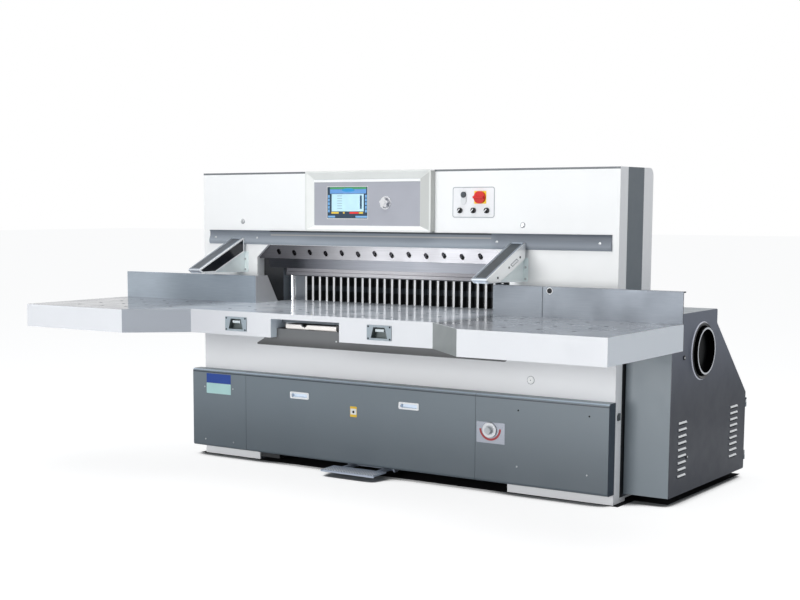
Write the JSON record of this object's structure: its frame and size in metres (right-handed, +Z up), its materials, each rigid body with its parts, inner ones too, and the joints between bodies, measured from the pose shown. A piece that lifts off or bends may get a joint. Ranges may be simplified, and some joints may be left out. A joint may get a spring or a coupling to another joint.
{
  "type": "industrial paper cutter",
  "caption": "Floor-standing industrial paper cutter with side tables, slanting knife, clamp, comb back gauge, light guards and a touch screen.",
  "frame": {"origin": "middle of the machine's whole footprint, on the floor", "axes": "+X to the operator's right, +Y away from the operator, +Z up"},
  "size_m": [3.362, 2.599, 1.603],
  "materials": {
    "white_paint": "satin",
    "grey_paint": "satin",
    "dark_paint": "satin",
    "frame_iron": "painted",
    "table_steel": "polished",
    "knife_steel": "ground",
    "clamp_steel": "brushed",
    "trim_aluminium": "anodised",
    "guide_steel": "satin",
    "gauge_white": "satin",
    "bezel_plastic": "moulded",
    "screen": "glossy",
    "black_plastic": "moulded",
    "red_plastic": "glossy",
    "green_plastic": "glossy",
    "chrome_parts": "polished",
    "motor_paint": "satin",
    "rubber_belt": "matte",
    "ring_paint": "satin",
    "stick_plastic": "smooth",
    "wheel_iron": "machined",
    "bolt_steel": "blackened"
  },
  "bodies": {
    "machine": {"left_side_frame": "frame_iron", "right_side_frame": "frame_iron", "table_bed": "frame_iron", "head_beam": "frame_iron", "front_table_top": "table_steel", "rear_table_top": "table_steel", "cutting_stick": "stick_plastic", "table_fascia": "white_paint", "upper_front_cover": "white_paint", "lower_front_cover": "white_paint", "side_covers": "grey_paint", "head_rear_cover": "white_paint", "rear_base_cover": "grey_paint", "trim_band": "trim_aluminium", "display_bezel": "bezel_plastic", "touch_screen": "screen", "control_plate": "white_paint", "left_base_cover": "dark_paint", "right_base_cover": "dark_paint", "under_table_cover": "grey_paint", "left_guide": "guide_steel", "right_guide": "guide_steel", "light_arms": "grey_paint", "arm_brackets": "white_paint", "button_housings": "grey_paint", "drive_housing": "dark_paint", "main_motor": "motor_paint", "drive_belts": "rubber_belt", "worm_gearbox": "motor_paint", "hydraulic_unit": "motor_paint", "clamp_cylinder": "motor_paint", "gauge_motor": "black_plastic", "pedal_bracket": "dark_paint"},
    "knife": {"knife_beam": "knife_steel", "knife_blade": "knife_steel", "knife_bolts": "bolt_steel", "pull_rod": "knife_steel"},
    "clamp": {"clamp_beam": "clamp_steel", "clamp_rods": "chrome_parts"},
    "gauge": {"back_gauge": "gauge_white", "gauge_carriage": "frame_iron"},
    "screw": {"lead_screw": "knife_steel"},
    "wheel": {"flywheel": "wheel_iron"},
    "pulley": {"motor_pulley": "wheel_iron"},
    "door": {"housing_door": "dark_paint", "port_ring": "ring_paint"},
    "latch_up": {"upper_latch": "chrome_parts"},
    "latch_low": {"lower_latch": "chrome_parts"},
    "base_cover": {"middle_base_cover": "dark_paint", "cover_pulls": "white_paint"},
    "drawer": {"tool_drawer": "grey_paint"},
    "button_left": {"left_cut_button": "green_plastic"},
    "button_right": {"right_cut_button": "green_plastic"},
    "switch": {"main_switch": "red_plastic"},
    "dial_left": {"selector_left": "black_plastic"},
    "dial_middle": {"selector_middle": "black_plastic"},
    "dial_right": {"selector_right": "black_plastic"},
    "jog": {"jog_knob": "chrome_parts"},
    "pressure": {"pressure_knob": "black_plastic"},
    "pedal": {"foot_pedal": "dark_paint"}
  },
  "joints": [
    {"name": "knife_slide", "type": "slide", "parent": "machine", "child": "knife", "axis": [0.6157, 0, -0.788], "range_m": [0, 0.22676]},
    {"name": "clamp_slide", "type": "slide", "parent": "machine", "child": "clamp", "axis": [0, 0, -1], "range_m": [0, 0.1377]},
    {"name": "gauge_slide", "type": "slide", "parent": "machine", "child": "gauge", "axis": [0, 1, 0], "range_m": [0, 1.17]},
    {"name": "screw_spin", "type": "hinge", "parent": "machine", "child": "screw", "pos_m": [0, 0.3795, 0.835], "axis": [0, 1, 0], "range_deg": [0, 21100]},
    {"name": "flywheel_spin", "type": "hinge", "parent": "machine", "child": "wheel", "pos_m": [1.37, 0.1525, 0.718], "axis": [1, 0, 0], "continuous": true},
    {"name": "pulley_spin", "type": "hinge", "parent": "machine", "child": "pulley", "pos_m": [1.37, 0.4795, 0.19], "axis": [1, 0, 0], "continuous": true},
    {"name": "door_hinge", "type": "hinge", "parent": "machine", "child": "door", "pos_m": [1.5083, 0.7885, 0.48], "axis": [0, 0, 1], "range_deg": [0, 100]},
    {"name": "upper_latch_turn", "type": "hinge", "parent": "door", "child": "latch_up", "pos_m": [1.511, -0.0785, 0.703], "axis": [1, 0, 0], "range_deg": [0, 90]},
    {"name": "lower_latch_turn", "type": "hinge", "parent": "door", "child": "latch_low", "pos_m": [1.511, -0.0115, 0.217], "axis": [1, 0, 0], "range_deg": [0, 90]},
    {"name": "base_cover_slide", "type": "slide", "parent": "machine", "child": "base_cover", "axis": [0, -1, 0], "range_m": [0, 0.25]},
    {"name": "drawer_slide", "type": "slide", "parent": "machine", "child": "drawer", "axis": [0, -1, 0], "range_m": [0, 0.22]},
    {"name": "left_button_press", "type": "slide", "parent": "machine", "child": "button_left", "axis": [0, 1, 0], "range_m": [0, 0.006], "stiffness_N_per_m": 400, "springref_m": -0.005},
    {"name": "right_button_press", "type": "slide", "parent": "machine", "child": "button_right", "axis": [0, 1, 0], "range_m": [0, 0.006], "stiffness_N_per_m": 400, "springref_m": -0.005},
    {"name": "switch_turn", "type": "hinge", "parent": "machine", "child": "switch", "pos_m": [0.53, -0.3305, 1.462], "axis": [0, 1, 0], "range_deg": [0, 90]},
    {"name": "selector_left_turn", "type": "hinge", "parent": "machine", "child": "dial_left", "pos_m": [0.416, -0.3305, 1.397], "axis": [0, 1, 0], "range_deg": [-45, 45]},
    {"name": "selector_middle_turn", "type": "hinge", "parent": "machine", "child": "dial_middle", "pos_m": [0.493, -0.3305, 1.397], "axis": [0, 1, 0], "range_deg": [-45, 45]},
    {"name": "selector_right_turn", "type": "hinge", "parent": "machine", "child": "dial_right", "pos_m": [0.569, -0.3305, 1.397], "axis": [0, 1, 0], "range_deg": [-45, 45]},
    {"name": "jog_turn", "type": "hinge", "parent": "machine", "child": "jog", "pos_m": [-0.016, -0.3605, 1.435], "axis": [0, 1, 0], "continuous": true},
    {"name": "pressure_turn", "type": "hinge", "parent": "machine", "child": "pressure", "pos_m": [0.641, -0.4055, 0.316], "axis": [0, 1, 0], "range_deg": [-135, 135]},
    {"name": "pedal_press", "type": "hinge", "parent": "machine", "child": "pedal", "pos_m": [-0.13, -0.2805, 0.034], "axis": [1, 0, 0], "range_deg": [0, 4], "stiffness_Nm_per_rad": 60, "springref_deg": -11.46}
  ],
  "couplings": [
    {"joint": "screw_spin", "follows": "gauge_slide", "rad_per_m": 314.16},
    {"joint": "pulley_spin", "follows": "flywheel_spin", "ratio": 3.1818}
  ]
}
